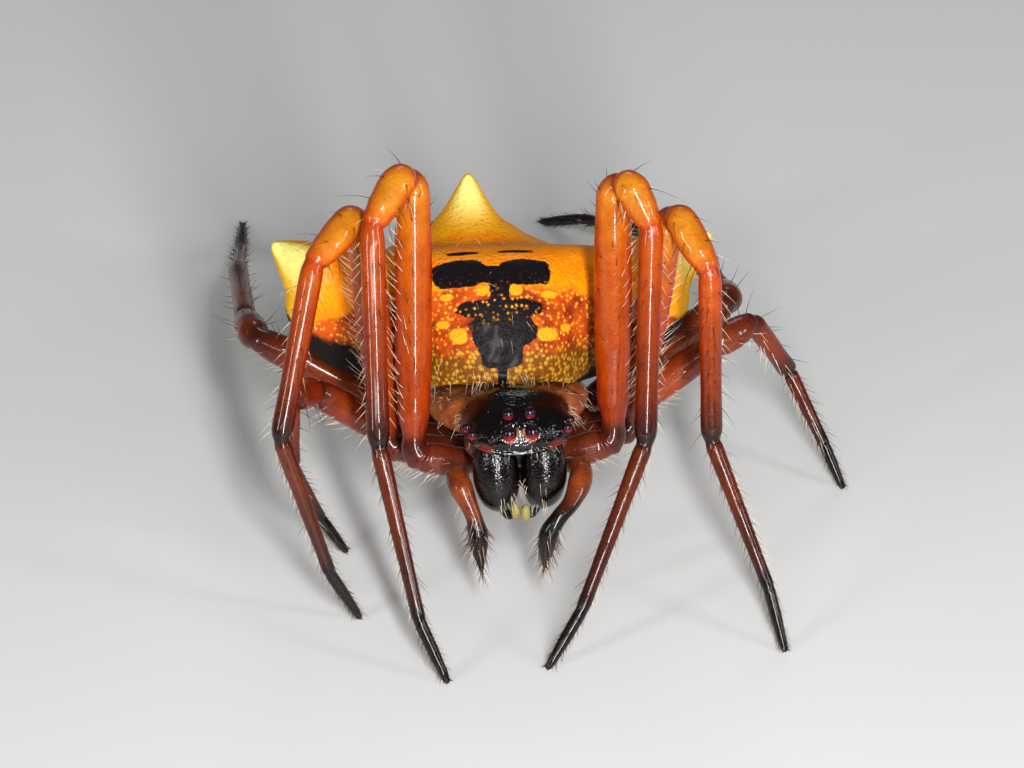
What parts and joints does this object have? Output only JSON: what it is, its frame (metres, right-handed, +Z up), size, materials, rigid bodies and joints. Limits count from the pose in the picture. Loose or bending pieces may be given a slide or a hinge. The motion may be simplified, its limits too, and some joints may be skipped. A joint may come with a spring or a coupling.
{
  "type": "verrucosa orb weaver",
  "caption": "Still, life-size model of a triangular-bodied orb weaver spider with a horned abdomen, its front legs folded high beside the body.",
  "frame": {"origin": "on the floor, below the middle of the model's box", "axes": "+Z up, -Y the way the face looks, +Y towards the tail, +X the spider's left"},
  "size_m": [0.0124, 0.0158, 0.0082],
  "materials": {
    "leg_cuticle": "glossy orange cuticle, amber at the joints",
    "foot_cuticle": "glossy red-brown cuticle, black at the tip",
    "carapace_cuticle": "glossy brown cuticle with a black head",
    "palp_cuticle": "glossy brown cuticle",
    "black_plate": "hard polished black cuticle",
    "abdomen_skin": "soft satin skin, orange and yellow with black bands",
    "horn_skin": "soft satin skin, yellow",
    "eye_lens": "polished dark red lens",
    "dark_hair": "dark bristles",
    "pale_hair": "fine pale hairs"
  },
  "bodies": {
    "root": {"carapace": "carapace_cuticle", "sternum": "carapace_cuticle", "pedicel": "carapace_cuticle", "abdomen": "abdomen_skin", "horn_left": "horn_skin", "horn_right": "horn_skin", "horn_tail": "horn_skin", "spinnerets": "black_plate", "chelicera_left": "black_plate", "chelicera_right": "black_plate", "fang_left": "black_plate", "fang_right": "black_plate", "palp_left_femur": "palp_cuticle", "palp_left_tarsus": "palp_cuticle", "palp_right_femur": "palp_cuticle", "palp_right_tarsus": "palp_cuticle", "eye_front_median_left": "eye_lens", "eye_front_median_right": "eye_lens", "eye_rear_median_left": "eye_lens", "eye_rear_median_right": "eye_lens", "eye_front_side_left": "eye_lens", "eye_front_side_right": "eye_lens", "eye_rear_side_left": "eye_lens", "eye_rear_side_right": "eye_lens", "leg_left_1_coxa": "leg_cuticle", "leg_left_1_femur": "leg_cuticle", "leg_left_1_tibia": "leg_cuticle", "leg_left_1_foot": "foot_cuticle", "leg_left_2_coxa": "leg_cuticle", "leg_left_2_femur": "leg_cuticle", "leg_left_2_tibia": "leg_cuticle", "leg_left_2_foot": "foot_cuticle", "leg_left_3_coxa": "leg_cuticle", "leg_left_3_femur": "leg_cuticle", "leg_left_3_tibia": "leg_cuticle", "leg_left_3_foot": "foot_cuticle", "leg_left_4_coxa": "leg_cuticle", "leg_left_4_femur": "leg_cuticle", "leg_left_4_tibia": "leg_cuticle", "leg_left_4_foot": "foot_cuticle", "leg_right_1_coxa": "leg_cuticle", "leg_right_1_femur": "leg_cuticle", "leg_right_1_tibia": "leg_cuticle", "leg_right_1_foot": "foot_cuticle", "leg_right_2_coxa": "leg_cuticle", "leg_right_2_femur": "leg_cuticle", "leg_right_2_tibia": "leg_cuticle", "leg_right_2_foot": "foot_cuticle", "leg_right_3_coxa": "leg_cuticle", "leg_right_3_femur": "leg_cuticle", "leg_right_3_tibia": "leg_cuticle", "leg_right_3_foot": "foot_cuticle", "leg_right_4_coxa": "leg_cuticle", "leg_right_4_femur": "leg_cuticle", "leg_right_4_tibia": "leg_cuticle", "leg_right_4_foot": "foot_cuticle"}
  },
  "joints": []
}
